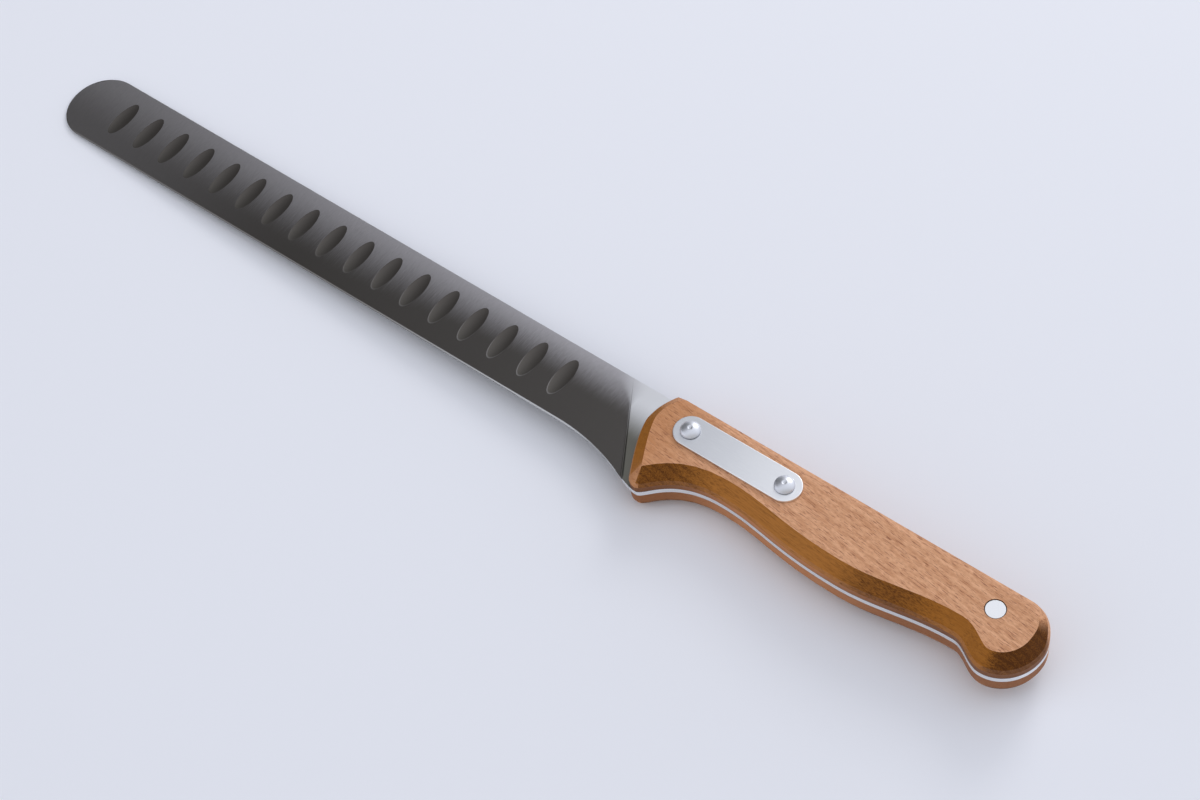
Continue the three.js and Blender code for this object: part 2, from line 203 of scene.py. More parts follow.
# Where along the handle the wood's tones begin and end to change, with the corner's painted
# highlight and the painted light on the middle of the grip
FRONT_FADES = (6, 34)
CORNER_FADES = (13, 17)
LIT_STARTS = (16, 45)
LIT_ENDS = (62, 108)
HEART = 93
HEART_REACH = (5, 17)
BUTT_DARKENS = (108, 130)

# Room: its colour, and the directions of its darker parts with the cosines at which they begin
# and are full, and their grey
ROOM = (0.97, 1.0, 1.09, 1)
DARKER_PARTS = [((-0.85, 0.25, 0.46), 0.74, 0.93, 0.14), ((0.66, -0.62, 0.42), 0.25, 0.95, 0.62)]
TABLE = (0.87, 0.885, 0.94, 1)
TABLE_SIZE = 8

# Handle length of a cubic curve that follows a quarter of an ellipse, as a share of its radius
QUARTER = 0.5523


def knife_to_frame():
    """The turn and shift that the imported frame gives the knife, read from where the far scale's
    flat face lies in it."""
    rest = next(m for m in frame["record"]["mounts"] if m["name"] == "handle_rest")
    tilt = math.atan2(rest["axis"][0], -rest["axis"][2])
    turn = Matrix.Rotation(-tilt, 4, "Y") @ Matrix.Scale(0.001, 4)
    shift = Vector(rest["pos_m"]) - turn @ Vector((*REST_POINT, -HANDLE_HALF))
    return Matrix.Translation(shift) @ turn


TO_FRAME = knife_to_frame()


def spine_at(x):
    return SPINE_AT_FRONT - SPINE_FALL * x


# Modelling by hand

def activate(obj):
    bpy.ops.object.select_all(action="DESELECT")
    obj.select_set(True)
    bpy.context.view_layer.objects.active = obj


def added(operator, **settings):
    """A new primitive with its place in its mesh."""
    bpy.ops.object.select_all(action="DESELECT")
    operator(**settings)
    obj = bpy.context.object
    bpy.ops.object.transform_apply()
    return obj


def edit(obj):
    activate(obj)
    bpy.ops.object.mode_set(mode="EDIT")
    bpy.ops.mesh.select_all(action="SELECT")


def leave():
    bpy.ops.object.mode_set(mode="OBJECT")


def pick(obj, kind, wanted):
    """In edit mode, selects only the vertices, edges or faces that are wanted."""
    bpy.ops.mesh.select_mode(type=kind)
    bpy.ops.mesh.select_all(action="DESELECT")
    mesh = bmesh.from_edit_mesh(obj.data)
    mesh.normal_update()
    for part in {"VERT": mesh.verts, "EDGE": mesh.edges, "FACE": mesh.faces}[kind]:
        if wanted(part):
            part.select_set(True)
    mesh.select_flush_mode()
    bmesh.update_edit_mesh(obj.data)


def face_outwards(obj):
    edit(obj)
    bpy.ops.mesh.remove_doubles(threshold=0.0005)
    bpy.ops.mesh.normals_make_consistent(inside=False)
    leave()


def raise_by(height):
    bpy.ops.mesh.extrude_region_move(TRANSFORM_OT_translate={"value": (0, 0, height)})


def modified(obj, kind, **settings):
    modifier = obj.modifiers.new(kind.lower(), kind)
    for name, value in settings.items():
        setattr(modifier, name, value)
    activate(obj)
    bpy.ops.object.modifier_apply(modifier=modifier.name)


def cut(obj, cutter):
    modified(obj, "BOOLEAN", operation="DIFFERENCE", solver="EXACT", object=cutter,
             material_mode="TRANSFER")
    bpy.data.objects.remove(cutter)


def soften(obj, width, angle, segments=2):
    """Rounds the edges that turn more sharply than the angle, in degrees."""
    modified(obj, "BEVEL", width=width, segments=segments, limit_method="ANGLE",
             angle_limit=math.radians(angle), miter_outer="MITER_ARC", loop_slide=False)


def smooth(obj, angle):
    """Smooth shading up to the angle, in degrees, led by the larger faces."""
    activate(obj)
    bpy.ops.object.shade_smooth_by_angle(angle=math.radians(angle))
    modified(obj, "WEIGHTED_NORMAL", weight=100, keep_sharp=True)


def joined(objects):
    bpy.ops.object.select_all(action="DESELECT")
    for obj in objects:
        obj.select_set(True)
    bpy.context.view_layer.objects.active = objects[0]
    bpy.ops.object.join()
    return objects[0]


def copy_moved(obj, shift, side):
    """A copy with its own mesh, moved, and for side -1 first mirrored to the far side."""
    copy = obj.copy()
    copy.data = obj.data.copy()
    bpy.context.collection.objects.link(copy)
    copy.matrix_world = Matrix.Translation(shift) @ Matrix.Diagonal((1, 1, side, 1))
    activate(copy)
    bpy.ops.object.transform_apply()
    face_outwards(copy)
    return copy


def flat_outline(knots):
    """A flat face inside a closed curve. Each knot has its place and the shifts from it to the
    handles before and after it."""
    bpy.ops.object.select_all(action="DESELECT")
    bpy.ops.curve.primitive_bezier_curve_add(location=(0, 0, 0))
    obj = bpy.context.object
    spline = obj.data.splines[0]
    spline.use_cyclic_u = True
    spline.resolution_u = OUTLINE_STEPS
    spline.bezier_points.add(len(knots) - 2)
    for point, (place, before, after) in zip(spline.bezier_points, knots):
        place = Vector((*place, 0))
        point.handle_left_type = "FREE"
        point.handle_right_type = "FREE"
        point.co = place
        point.handle_left = place + Vector((*before, 0))
        point.handle_right = place + Vector((*after, 0))
    bpy.ops.object.convert(target="MESH")
    obj = bpy.context.object
    edit(obj)
    bpy.ops.mesh.remove_doubles(threshold=0.001)
    bpy.ops.mesh.edge_face_add()
    leave()
    return obj


def flat_panel(corners):
    """A flat face with the corners given."""
    obj = added(bpy.ops.mesh.primitive_circle_add, vertices=len(corners), fill_type="NGON")
    for vertex, (x, y) in zip(obj.data.vertices, corners):
        vertex.co = (x, y, 0)
    return obj


def turned(profile, place):
    """A turned piece that stands along Z, from its half profile of radii and heights."""
    radius, height = profile[0]
    obj = added(bpy.ops.mesh.primitive_circle_add, vertices=ROUND_STEPS, radius=radius,
                fill_type="NGON", location=(*place, height))
    edit(obj)
    for next_radius, next_height in profile[1:]:
        raise_by(next_height - height)
        share = next_radius / radius
        bpy.ops.transform.resize(value=(share, share, 1))
        radius, height = next_radius, next_height
    leave()
    face_outwards(obj)
    return obj


def cylinder(place, radius, low, high):
    return turned([(radius, low), (radius, high)], place)


def finished(obj, name, node, finish):
    """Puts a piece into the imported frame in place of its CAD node."""
    obj.matrix_world = TO_FRAME
    activate(obj)
    bpy.ops.object.transform_apply()
    dress(obj, name, node, finish)


def dress(obj, name, node, finish):
    obj.name = name
    obj.data.name = name
    if finish:
        obj.data.materials.clear()
        obj.data.materials.append(finish)
    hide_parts(node)
    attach(obj, "root")


# Node graphs

class Signal:
    """An output of a node graph. Sums on signals add Math nodes."""

    def __init__(self, graph, socket):
        self.graph = graph
        self.socket = socket

    def __add__(self, other):
        return self.graph.math("ADD", self, other)

    __radd__ = __add__

    def __sub__(self, other):
        return self.graph.math("SUBTRACT", self, other)

    def __rsub__(self, other):
        return self.graph.math("SUBTRACT", other, self)

    def __mul__(self, other):
        return self.graph.math("MULTIPLY", self, other)

    __rmul__ = __mul__

    def __truediv__(self, other):
        return self.graph.math("DIVIDE", self, other)


class Graph:
    """A node graph of a material or of the world."""

    def __init__(self, tree):
        self.tree = tree
        tree.nodes.clear()

    def node(self, kind, settings=None, inputs=None, output=0):
        made = self.tree.nodes.new(kind)
        for name, value in (settings or {}).items():
            setattr(made, name, value)
        for name, value in (inputs or {}).items():
            socket = made.inputs[name]
            if isinstance(value, Signal):
                self.tree.links.new(value.socket, socket)
            else:
                socket.default_value = value
        return Signal(self, made.outputs[output]) if made.outputs else None

    def math(self, operation, *values):
        return self.node("ShaderNodeMath", {"operation": operation}, dict(enumerate(values)))

    def step(self, value, low, high):
        """Rises smoothly from 0 at low to 1 at high."""
        return self.node("ShaderNodeMapRange", {"interpolation_type": "SMOOTHSTEP"},
                         {"Value": value, "From Min": low, "From Max": high})

    def mix(self, share, first, second):
        """A colour between the first, at share 0, and the second, at share 1."""
        return self.node("ShaderNodeMix", {"data_type": "RGBA"},
                         {"Factor": share, 6: first, 7: second}, output=2)

    def noise(self, place, stretch, detail=2.0, roughness=0.5):
        """Noise with so many turns to the millimetre along each axis."""
        scaled = self.node("ShaderNodeVectorMath", {"operation": "MULTIPLY"},
                           {0: place, 1: stretch})
        return self.node("ShaderNodeTexNoise", {},
                         {"Vector": scaled, "Scale": 1.0, "Detail": detail,
                          "Roughness": roughness})

    def dot(self, vector, direction):
        return self.node("ShaderNodeVectorMath", {"operation": "DOT_PRODUCT"},
                         {0: vector, 1: direction}, output=1)

    def bump(self, height, distance, strength):
        return self.node("ShaderNodeBump", {},
                         {"Height": height, "Distance": distance, "Strength": strength})


class Finish(Graph):
    """A surface finish whose patterns are laid out in the knife's own millimetres."""

    def __init__(self, name):
        self.material = bpy.data.materials.new(name)
        self.material.use_nodes = True
        super().__init__(self.material.node_tree)
        place = self.node("ShaderNodeTexCoord", output=3)
        turn = TO_FRAME.to_euler()
        self.place = self.node("ShaderNodeMapping", {"vector_type": "TEXTURE"},
                               {"Vector": place, "Location": TO_FRAME.translation,
                                "Rotation": turn, "Scale": TO_FRAME.to_scale()})
        split = self.node("ShaderNodeSeparateXYZ", {}, {0: self.place}).socket.node
        self.x, self.y, self.z = (Signal(self, socket) for socket in split.outputs)

    def facing(self, direction):
        """How much the surface faces a direction given in the knife's axes."""
        normal = self.node("ShaderNodeNewGeometry", output=1)
        return self.dot(normal, TO_FRAME.to_quaternion() @ Vector(direction))

    def surface(self, **inputs):
        shader = self.node("ShaderNodeBsdfPrincipled", {},
                           {name.replace("_", " "): value for name, value in inputs.items()})
        self.node("ShaderNodeOutputMaterial", {}, {"Surface": shader})
        return self.material


def blade_finish(name, hollow=False):
    """Satin steel, brushed from spine to edge, with a painted reflection that makes it lighter
    along the spine and painted shade that darkens it towards the edge, more so at the heel, and
    painted light that makes the tip lighter. Between the end of the grind and the wood it bears a
    painted highlight, and a painted reflection of the handle darkens it again towards the guard.
    In the dimples it is darker with painted shade, with a painted highlight on a lip round their
    lower ends."""
    finish = Finish(name)
    below_spine = SPINE_AT_FRONT - SPINE_FALL * finish.x - finish.y
    behind_grind = finish.x + GRIND_END - GRIND_LEAN * below_spine
    brushed = finish.noise(finish.place, (7.0, 0.10, 1.0), detail=3)
    fine = finish.noise(finish.place, (24.0, 0.45, 1.0), detail=2)
    streaks = 0.5 * brushed + 0.5 * fine
    # Painted reflection and painted shade across the blade, stronger towards the heel, and painted
    # light towards the tip
    at_heel = finish.step(finish.x, *HEEL_DARKENS)
    across = finish.step((1 + 0.6 * at_heel) * below_spine + 12.0 * (streaks - 0.5), -3.0, 21.0)
    ground = finish.mix(across, SPINE_STEEL, EDGE_STEEL)
    at_tip = 1 - finish.step(finish.x, *TIP_LIGHTENS)
    ground = finish.mix(0.5 * at_tip, ground, TIP_STEEL)
    scratches = finish.step(fine, 0.35, 0.75)
    ground = finish.mix(0.22 * scratches, ground, SCRATCH_STEEL)
    if hollow:
        # Painted shade darkens the dimples
        low = finish.step(below_spine, SPINE_AT_FRONT - 5.0, SPINE_AT_FRONT + 9.0)
        ground = finish.mix(low, HOLLOW_TOP_STEEL, HOLLOW_FOOT_STEEL)
        far_side = 1 - finish.step(finish.z, -0.05, 0.05)
        # Painted highlight on a lip round the dimples' lower ends
        row = finish.x - FIRST_DIMPLE - DIMPLE_PITCH / 2 * far_side
        aside = finish.math("WRAP", row, DIMPLE_PITCH / 2, -DIMPLE_PITCH / 2) / (DIMPLE_WIDTH / 2)
        down = finish.y / (DIMPLE_LENGTH / 2)
        lip = finish.step(aside * aside + down * down, 0.80, 0.95)
        lip = lip * (1 - finish.step(down, -0.6, 0.3)) * finish.step(finish.x, *LIP_BRIGHTENS)
        ground = finish.mix(0.4 * lip, ground, LIP_HIGHLIGHT_STEEL)
    # Painted highlight between the grind and the wood, fading into painted reflection of the handle
    # towards the guard
    fade = finish.step(below_spine + 5.0 * (streaks - 0.5), 5.0, 19.0)
    bright = finish.mix(fade, RICASSO_HIGHLIGHT_STEEL, HANDLE_REFLECTION_STEEL)
    width = 6.5 - 5.7 * finish.step(below_spine, 1.0, 9.0)
    return finish.surface(
        Base_Color=finish.mix(finish.step(behind_grind / width, -1.0, 1.0), ground, bright),
        Metallic=1.0,
        Roughness=(0.42 if hollow else 0.30) + 0.10 * streaks,
        Normal=finish.bump(streaks, 0.00002, 0.3))


def honed_finish():
    """Polished steel of the narrow bevel at the cutting edge and of the tang's rim. Its tone runs
    from painted shade near the tip to a painted highlight towards the heel and on the tang's rim.
    """
    finish = Finish("honed_edge")
    lines = 0.8 + 0.2 * finish.noise(finish.place, (12.0, 2.0, 2.0), detail=2)
    # Painted highlight: dark near the tip, brighter towards the heel and on the tang's rim
    along = finish.step(finish.x, *EDGE_BRIGHTENS)
    rim = finish.step(finish.x, *RIM_BRIGHTENS)
    return finish.surface(
        Base_Color=finish.mix((0.45 * along + 0.55 * rim) * lines, SHADED_HONED_STEEL, HONED_STEEL),
        Metallic=1.0,
        Roughness=0.22 + 0.12 * lines,
        Normal=finish.bump(lines, 0.00001, 0.2))


def beech_finish():
    """Oiled beech: tan, with short dark flecks along a grain that runs a little across the
    handle. The bevels cut through the growth rings, soak up more of the oiling and are darker, and
    on the sides away from the spine they also carry painted shade, with a painted highlight kept on
    the rounded corner by the guard. The upright walls are darker with painted shade, and the middle
    of the grip is paler with painted light."""
    finish = Finish("oiled_beech")
    grain = finish.node("ShaderNodeMapping", {}, {
        "Vector": finish.place, "Rotation": (0, 0, math.radians(GRAIN_TURN))})
    split = finish.node("ShaderNodeSeparateXYZ", {}, {0: grain}).socket.node
    across, deep = (Signal(finish, split.outputs[i]) for i in (1, 2))
    warp = finish.noise(grain, (0.02, 0.05, 0.05), detail=2)
    wave = finish.noise(grain, (0.08, 0.4, 0.4), detail=3)
    rings = finish.math("SINE", RING_TURNS * (0.9 * across + 0.3 * deep + 9.0 * warp + wave))
    rings = finish.step(rings, 0.1, 1.0)
    streaks = finish.noise(grain, (0.045, 0.8, 0.8), detail=4, roughness=0.6)
    mottle = finish.noise(grain, (0.5, 1.6, 1.6), detail=3, roughness=0.6)
    flecks = finish.step(finish.noise(grain, (0.30, 3.4, 3.4), detail=2), 0.58, 0.66)
    pores = finish.step(finish.noise(grain, (0.7, 8.0, 8.0), detail=1), 0.54, 0.72)
    fibres = finish.step(finish.noise(grain, (0.10, 4.5, 4.5), detail=3, roughness=0.6), 0.40, 0.62)
    tone = finish.mix(finish.step(0.5 * streaks + 0.5 * mottle, 0.35, 0.65),
                      BROWN_BEECH, PALE_BEECH)
    front = 1 - finish.step(finish.x, *FRONT_FADES)
    tone = finish.mix(0.6 * front, tone, FRONT_BEECH)
    tone = finish.mix(0.12 * rings, tone, RING_BEECH)
    tone = finish.mix(0.78 * flecks, tone, FLECK_BEECH)
    tone = finish.mix(0.40 * pores, tone, PORE_BEECH)
    upward = finish.math("ABSOLUTE", finish.facing((0, 0, 1)))
    sloped = finish.step(upward, 0.16, 0.40) * (1 - finish.step(upward, 0.84, 0.95))
    # Painted highlight: the rounded corner between the front and the finger side stays lighter
    corner = finish.step(finish.facing((-0.35, -0.94, 0)), 0.53, 0.62)
    corner = corner * (1 - finish.step(finish.x, *CORNER_FADES))
    # Painted light on the middle of the grip, on its walls and bevels
    painted_light = finish.step(finish.x, *LIT_STARTS) * (1 - finish.step(finish.x, *LIT_ENDS))
    near_wall = finish.mix(painted_light, *NEAR_WALL)
    far_wall = finish.mix(painted_light, *FAR_WALL)
    # The upright walls away from the spine are darker with painted shade, the near scale's more
    wall = finish.mix(finish.step(finish.z, -0.1, 0.1), far_wall, near_wall)
    # Painted shade: walls and bevels that do not face the spine are darker
    off_spine = 1 - finish.step(finish.facing((0, 1, 0)), 0.05, 0.35)
    tone = finish.mix(0.85 * off_spine * (1 - finish.step(upward, 0.05, 0.30)), tone, wall)
    bevel = sloped * off_spine * (1 - 0.8 * corner)
    ends = finish.step(finish.facing((0.94, -0.34, 0)), 0.22, 0.60)
    heart = 1 - finish.step(finish.math("ABSOLUTE", finish.x - HEART), *HEART_REACH)
    # Bevel tone: oiled, and darkened by painted shade
    oil_and_shade = finish.mix(streaks, PALE_OIL_AND_SHADE, DEEP_OIL_AND_SHADE)
    oil_and_shade = finish.mix(0.5 * painted_light, oil_and_shade, LIT_OIL)
    butt = finish.step(finish.x, *BUTT_DARKENS)
    # Darker with grain marks, with end grain towards the butt, and with painted shade
    dark = (0.08 + 0.10 * ends) * rings + (0.58 + 0.3 * butt) * ends + 0.35 * heart
    dark = dark + 0.32 * flecks + 0.2 * pores + 0.42 * (fibres - 0.5) + 0.3 * (mottle - 0.5)
    oil_and_shade = finish.mix(dark, oil_and_shade, DARK_OIL_AND_SHADE)
    return finish.surface(
        Base_Color=finish.mix(bevel, tone, oil_and_shade),
        Roughness=0.46 + 0.16 * streaks,
        Specular_IOR_Level=0.10,
        Normal=finish.bump(1 - 0.7 * flecks - 0.3 * pores, 0.00006, 0.5))


def plate_finish():
    """Satin plate with fine lines along its length, lighter towards its rear end with painted light.
    """
    finish = Finish("satin_plate")
    lines = finish.noise(finish.place, (0.4, 14.0, 1.0), detail=3)
    clouds = finish.noise(finish.place, (0.12, 0.2, 0.2), detail=2)
    # Painted light: the plate is lighter towards its rear end
    along = finish.step(finish.x, *PLATE_BRIGHTENS)
    dull, bright = (finish.mix(along, front, rear) for front, rear in zip(FRONT_PLATE, REAR_PLATE))
    return finish.surface(
        Base_Color=finish.mix(lines, dull, bright),
        Metallic=1.0,
        Roughness=0.24 + 0.10 * lines + 0.08 * clouds,
        Normal=finish.bump(lines, 0.00001, 0.25))


def rivet_finish(name, polish, shine):
    """Aluminium, turned and polished or left satin."""
    finish = Finish(name)
    scuffs = finish.noise(finish.place, (3.0, 3.0, 3.0), detail=4, roughness=0.65)
    return finish.surface(
        Base_Color=finish.mix(scuffs, [0.85 * part for part in shine] + [1], [*shine, 1]),
        Metallic=1.0,
        Roughness=polish + 0.14 * scuffs,
        Normal=finish.bump(scuffs, 0.00001, 0.2))


# Pieces

def blade_outline():
    """Spine, round tip, cutting edge, and the tang that fills the handle's outline."""
    tip = (SPINE_AT_TIP + EDGE_AT_TIP) / 2
    tip_middle = (SPINE_AT_TIP - EDGE_AT_TIP) / 2
    tip_pull = QUARTER * tip
    still = (0, 0)
    corner_x = BUTT - BUTT_CORNER
    corner_y = spine_at(corner_x)
    return flat_outline([
        ((tip - BLADE_LENGTH, SPINE_AT_TIP), still, (-tip_pull, 0)),
        ((-BLADE_LENGTH, tip_middle), (0, tip_pull), (0, -tip_pull)),
        ((tip - BLADE_LENGTH, -EDGE_AT_TIP), (-tip_pull, 0), still),
        ((-HEEL, -EDGE_AT_HEEL), still, (HEEL_PULL, 0)),
        (GUARD, (-HEEL_END_PULL, 0), (GUARD_PULL, 0)),
        (RECESS, (-RECESS_PULLS[0], 0), (RECESS_PULLS[1], 0)),
        (BELLY, (-BELLY_PULLS[0], 0), (BELLY_PULLS[1], 0)),
        (WAIST, (-WAIST_PULLS[0], 0), (WAIST_PULLS[1], 0)),
        (HOOK, (-HOOK_PULL, 0), (QUARTER * (BUTT - HOOK[0]), 0)),
        ((BUTT, 0), (0, QUARTER * HOOK[1]), (0, QUARTER * corner_y)),
        ((corner_x, corner_y), (QUARTER * BUTT_CORNER, 0), still),
    ])


def grind_angle():
    return math.atan((BLADE_HALF - EDGE_HALF) / (SPINE_AT_FRONT - GUARD[1]))


def grind_cutter():
    """Wedge that grinds one face thinner from the spine to the edge."""
    over = 2
    depth = SPINE_AT_FRONT - GUARD[1] + over
    obj = flat_panel([
        (-BLADE_LENGTH - over, over), (-BLADE_LENGTH - over, -depth),
        (GRIND_LEAN * depth - GRIND_END, -depth), (-GRIND_LEAN * over - GRIND_END, over)])
    edit(obj)
    raise_by(HANDLE_HALF)
    pick(obj, "VERT", lambda vertex: vertex.co.z > 1 and vertex.co.x > -BLADE_LENGTH)
    bpy.ops.transform.translate(value=(GRIND_RUN_OUT, 0, 0))
    leave()
    obj.matrix_world = (Matrix.Translation((0, SPINE_AT_FRONT, BLADE_HALF))
                        @ Matrix.Rotation(-math.atan(SPINE_FALL), 4, "Z")
                        @ Matrix.Rotation(grind_angle(), 4, "X"))
    activate(obj)
    bpy.ops.object.transform_apply()
    face_outwards(obj)
    return obj


def dimple_cutter(finish):
    """The low slice of an ellipsoid, which leaves one long oval hollow in the near face."""
    tall = DIMPLE_DEPTH * DIMPLE_BALL
    share = math.sqrt(1 - ((tall - DIMPLE_DEPTH) / tall) ** 2)
    obj = added(bpy.ops.mesh.primitive_uv_sphere_add, segments=ROUND_STEPS,
                ring_count=DIMPLE_RINGS, radius=1,
                scale=(DIMPLE_WIDTH / 2 / share, DIMPLE_LENGTH / 2 / share, tall),
                location=(0, 0, tall - DIMPLE_DEPTH))
    edit(obj)
    bpy.ops.mesh.bisect(plane_co=(0, 0, DIMPLE_DEPTH), plane_no=(0, 0, 1), use_fill=True,
                        clear_outer=True)
    leave()
    obj.matrix_world = Matrix.Rotation(grind_angle(), 4, "X")
    activate(obj)
    bpy.ops.object.transform_apply()
    obj.data.materials.append(finish)
    return obj


def make_blade():
    steel = blade_finish("brushed_blade")
    hollow = blade_finish("brushed_hollow", hollow=True)
    blade = blade_outline()
    edit(blade)
    bpy.ops.transform.translate(value=(0, 0, -BLADE_HALF))
    raise_by(2 * BLADE_HALF)
    leave()
    blade.data.materials.append(steel)
    blade.data.materials.append(honed_finish())
    face_outwards(blade)
    wedge = grind_cutter()
    wedge.data.materials.append(steel)
    far_wedge = copy_moved(wedge, (0, 0, 0), -1)
    cut(blade, wedge)
    cut(blade, far_wedge)
    thin_edge(blade)
    dimple = dimple_cutter(hollow)
    near = []
    far = []
    for i in range(DIMPLES):
        x = FIRST_DIMPLE + i * DIMPLE_PITCH
        near.append(copy_moved(dimple, (x, 0, ground_face_at(x)), 1))
        if i + 1 < DIMPLES:
            far_x = x + DIMPLE_PITCH / 2
            far.append(copy_moved(dimple, (far_x, 0, -ground_face_at(far_x)), -1))
    bpy.data.objects.remove(dimple)
    cut(blade, joined(near))
    cut(blade, joined(far))
    for place in RIVETS:
        hole = cylinder(place, SLEEVE_RADIUS + FIT_GAP, -2 * BLADE_HALF, 2 * BLADE_HALF)
        hole.data.materials.append(steel)
        cut(blade, hole)
    soften(blade, BLADE_ROUND, ROUNDED_TURN)
    for face in blade.data.polygons:
        if abs(face.normal.z) < STEEP and face.center.x > TANG_RIM_START:
            face.material_index = 1
    smooth(blade, BLADE_SHARP_TURN)
    finished(blade, "satin_blade", "blade", None)


def ground_face_at(x):
    """Height of the ground face above the mid-plane in the middle of the row of dimples."""
    return BLADE_HALF - math.tan(grind_angle()) * spine_at(x)


def thin_edge(blade):
    """Draws a narrow bevel round both ground faces and thins it to the cutting edge, less and
    less round the tip and towards the heel, where it also narrows."""
    edit(blade)
    pick(blade, "FACE", lambda face: abs(face.normal.z) > FLAT
         and face.calc_center_median().x < -HEEL)
    bpy.ops.mesh.inset(thickness=EDGE_BEVEL, use_even_offset=True)
    heel_end = GRIND_LEAN * (SPINE_AT_FRONT - GUARD[1]) - GRIND_END - HEEL_CLEAR
    pick(blade, "VERT", lambda vertex: vertex.co.y < SPINE_AT_TIP - 1 and vertex.co.x < heel_end
         and any(abs(face.normal.z) < UPRIGHT for face in vertex.link_faces))
    mesh = bmesh.from_edit_mesh(blade.data)
    for vertex in mesh.verts:
        if vertex.select:
            round_tip = (vertex.co.y + EDGE_AT_HEEL) / (SPINE_AT_TIP + EDGE_AT_HEEL)
            near_heel = 1 - (heel_end - vertex.co.x) / HEEL_FADE
            kept = min(max(round_tip, near_heel, 0), 1)
            vertex.co.z *= EDGE_THINNING + (1 - EDGE_THINNING) * kept
            for edge in vertex.link_edges:
                inner = edge.other_vert(vertex)
                if not inner.select:
                    inner.co = inner.co.lerp(vertex.co, HEEL_NARROWING * min(max(near_heel, 0), 1))
    mesh.normal_update()
    for face in mesh.faces:
        x = face.calc_center_median().x
        slant = abs(face.normal.z)
        at_heel = x > -HEEL and sum(vertex.select for vertex in face.verts) > 1
        if slant > SLANTED and x < heel_end and (at_heel or slant < FLAT):
            face.material_index = 1
    bmesh.update_edit_mesh(blade.data)
    leave()


RIVETS = [(PLATE_MIDDLE[0] - RIVET_SPACING / 2, PLATE_MIDDLE[1]),
          (PLATE_MIDDLE[0] + RIVET_SPACING / 2, PLATE_MIDDLE[1]),
          REAR_RIVET]
HEAD_SEAT = HANDLE_HALF - HEAD_SINK - HEAD_THICKNESS
PIN_FOOT = FIT_GAP - HEAD_SEAT
DOME_SEAT = HANDLE_HALF + FIT_GAP + PLATE_THICKNESS + FIT_GAP


def make_scales():
    """The two scales, with the edges of the CAD solids rounded."""
    beech = beech_finish()
    for node, name in (("near_scale", "near_beech_scale"), ("far_scale", "far_beech_scale")):
        scale = bpy.data.objects.new(name, frame["nodes"][node].data.copy())
        bpy.context.collection.objects.link(scale)
        edit(scale)
        bpy.ops.mesh.remove_doubles(threshold=0.00001)
        bpy.ops.mesh.dissolve_limited(angle_limit=math.radians(0.5))
        leave()
        soften(scale, SCALE_ROUND / 1000, SCALE_ROUNDED_TURN, segments=3)
        smooth(scale, SHARP_TURN)
        dress(scale, name, node, beech)


def make_plate():
    radius = PLATE_WIDTH / 2
    middle_x, middle_y = PLATE_MIDDLE
    straight = PLATE_LENGTH / 2 - radius
    plate = added(bpy.ops.mesh.primitive_circle_add, vertices=ROUND_STEPS, radius=radius,
                  fill_type="NGON", location=(middle_x, middle_y, HANDLE_HALF + FIT_GAP),
                  rotation=(0, 0, math.pi / ROUND_STEPS))
    edit(plate)
    for side in (-1, 1):
        pick(plate, "VERT", lambda vertex: (vertex.co.x - middle_x) * side > 0)
        bpy.ops.transform.translate(value=(side * straight, 0, 0))
    bpy.ops.mesh.select_all(action="SELECT")
    raise_by(PLATE_THICKNESS)
    leave()
    face_outwards(plate)
    edit(plate)
    top = HANDLE_HALF + FIT_GAP + PLATE_THICKNESS
    pick(plate, "EDGE", lambda edge: all(abs(v.co.z - top) < 0.01 for v in edge.verts))
    bpy.ops.mesh.bevel(offset=PLATE_EDGE, segments=4, affect="EDGES")
    leave()
    for place in RIVETS[:2]:
        cut(plate, cylinder(place, SLEEVE_RADIUS + FIT_GAP, HANDLE_HALF - 1, top + 1))
    smooth(plate, PLATE_SHARP_TURN)
    finished(plate, "satin_plate", "name_plate", plate_finish())


def domed_profile():
    rise = DOME_HEIGHT - DOME_RIM
    profile = [(PIN_RADIUS, PIN_FOOT), (PIN_RADIUS, DOME_SEAT), (DOME_RADIUS, DOME_SEAT)]
    for step in range(DOME_STEPS):
        angle = math.pi / 2 * step / DOME_STEPS
        radius = DOME_RADIUS * math.cos(angle)
        if radius > DOME_MARK:
            profile.append((radius, DOME_SEAT + DOME_RIM + rise * math.sin(angle)))
    top = DOME_SEAT + DOME_HEIGHT
    profile.append((DOME_MARK, top - DOME_MARK_LIP))
    profile.append((0.7 * DOME_MARK, top - 0.7 * DOME_MARK_DEPTH))
    profile.append((0.3 * DOME_MARK, top - DOME_MARK_DEPTH))
    return profile


def flush_profile():
    top = HANDLE_HALF - HEAD_SINK
    return [(PIN_RADIUS, PIN_FOOT), (PIN_RADIUS, HEAD_SEAT), (HEAD_RADIUS, HEAD_SEAT),
            (HEAD_RADIUS, top)]


def sleeve_profile():
    bore = PIN_RADIUS + FIT_GAP
    mouth = HANDLE_HALF - SLEEVE_STOP
    return [(HEAD_RADIUS, HEAD_SINK - HANDLE_HALF), (HEAD_RADIUS, -HEAD_SEAT),
            (SLEEVE_RADIUS, -HEAD_SEAT), (SLEEVE_RADIUS, mouth), (bore, mouth),
            (bore, -HEAD_SEAT)]


def make_rivets():
    polished = rivet_finish("polished_rivet", 0.32, POLISHED_RIVET)
    satin = rivet_finish("satin_rivet", 0.30, SATIN_RIVET)
    names = ("front_rivet", "middle_rivet", "rear_rivet")
    for name, place in zip(names, RIVETS):
        domed = place != REAR_RIVET
        pin = turned(domed_profile() if domed else flush_profile(), place)
        soften(pin, RIVET_ROUND, ROUNDED_TURN)
        smooth(pin, SHARP_TURN)
        finished(pin, name + "_head", name + "_pin", polished if domed else satin)
        tube = turned(sleeve_profile(), place)
        soften(tube, RIVET_ROUND, ROUNDED_TURN)
        smooth(tube, SHARP_TURN)
        finished(tube, name + "_tube", name + "_sleeve", satin)


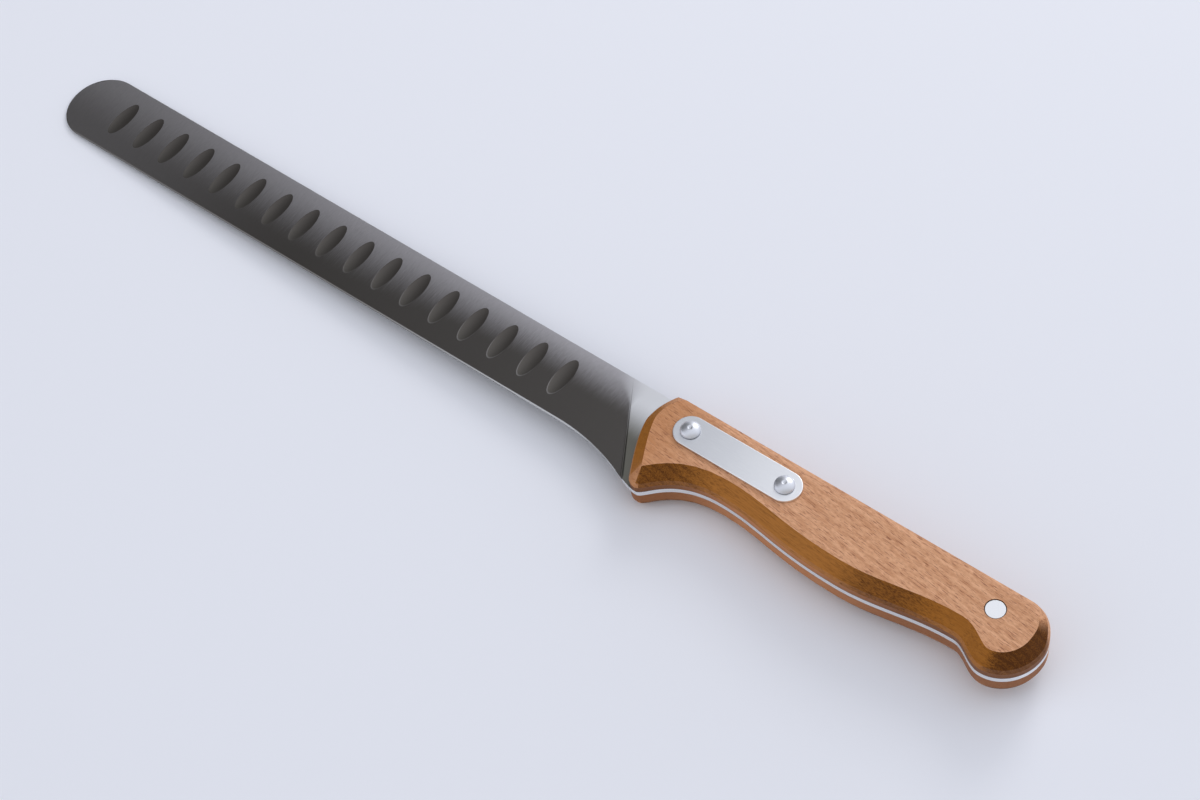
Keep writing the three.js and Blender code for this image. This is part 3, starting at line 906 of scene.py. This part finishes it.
# Stage, light and camera

def make_floor():
    floor = added(bpy.ops.mesh.primitive_plane_add, size=TABLE_SIZE, location=(0, 0, 0))
    floor.name = "table"
    finish = Finish("pale_table")
    floor.data.materials.append(finish.surface(Base_Color=TABLE, Roughness=0.9))


def make_light():
    """A pale room with two darker parts for the steel to mirror, and a soft lamp behind the spine."""
    scene = bpy.context.scene
    scene.view_settings.view_transform = "Standard"
    scene.world = bpy.data.worlds.new("room")
    scene.world.use_nodes = True
    room = Graph(scene.world.node_tree)
    direction = room.node("ShaderNodeTexCoord", output=0)
    colour = ROOM
    for toward, start, full, grey in DARKER_PARTS:
        shade = room.step(room.dot(direction, Vector(toward).normalized()), start, full)
        colour = room.mix(shade, colour, (grey, grey, grey, 1))
    background = room.node("ShaderNodeBackground", {}, {"Color": colour, "Strength": 1.0})
    room.node("ShaderNodeOutputWorld", {}, {"Surface": background})
    lamp = bpy.data.lights.new("soft_lamp", "AREA")
    lamp.size = 0.4
    lamp.energy = 2.4
    lamp.color = (1.0, 0.98, 0.95)
    obj = bpy.data.objects.new("soft_lamp", lamp)
    obj.location = (-0.1, 1.0, 0.65)
    obj.rotation_euler = (-obj.location).to_track_quat("-Z", "Y").to_euler()
    bpy.context.collection.objects.link(obj)


def make_camera():
    """Camera at the photograph's viewing angle."""
    azimuth, elevation, roll = 0.82278, 0.955319, -0.190139
    target = Vector((-16.83, -0.01, 0))
    distance = 712.2
    back = Vector((math.sin(azimuth) * math.cos(elevation),
                   -math.cos(azimuth) * math.cos(elevation), math.sin(elevation)))
    level = Vector((math.cos(azimuth), math.sin(azimuth), 0))
    upright = back.cross(level)
    right = math.cos(roll) * level + math.sin(roll) * upright
    up = math.cos(roll) * upright - math.sin(roll) * level
    axes = Matrix((right, up, back)).transposed()
    camera = bpy.data.cameras.new("camera")
    camera.lens = 69.63
    camera.sensor_width = 36
    camera.sensor_fit = "HORIZONTAL"
    obj = bpy.data.objects.new("camera", camera)
    turn = TO_FRAME.to_quaternion().to_matrix() @ axes
    obj.matrix_world = Matrix.Translation(TO_FRAME @ (target + distance * back)) @ turn.to_4x4()
    bpy.context.collection.objects.link(obj)
    bpy.context.scene.camera = obj


make_camera()
make_floor()
make_light()
make_blade()
make_scales()
make_plate()
make_rivets()
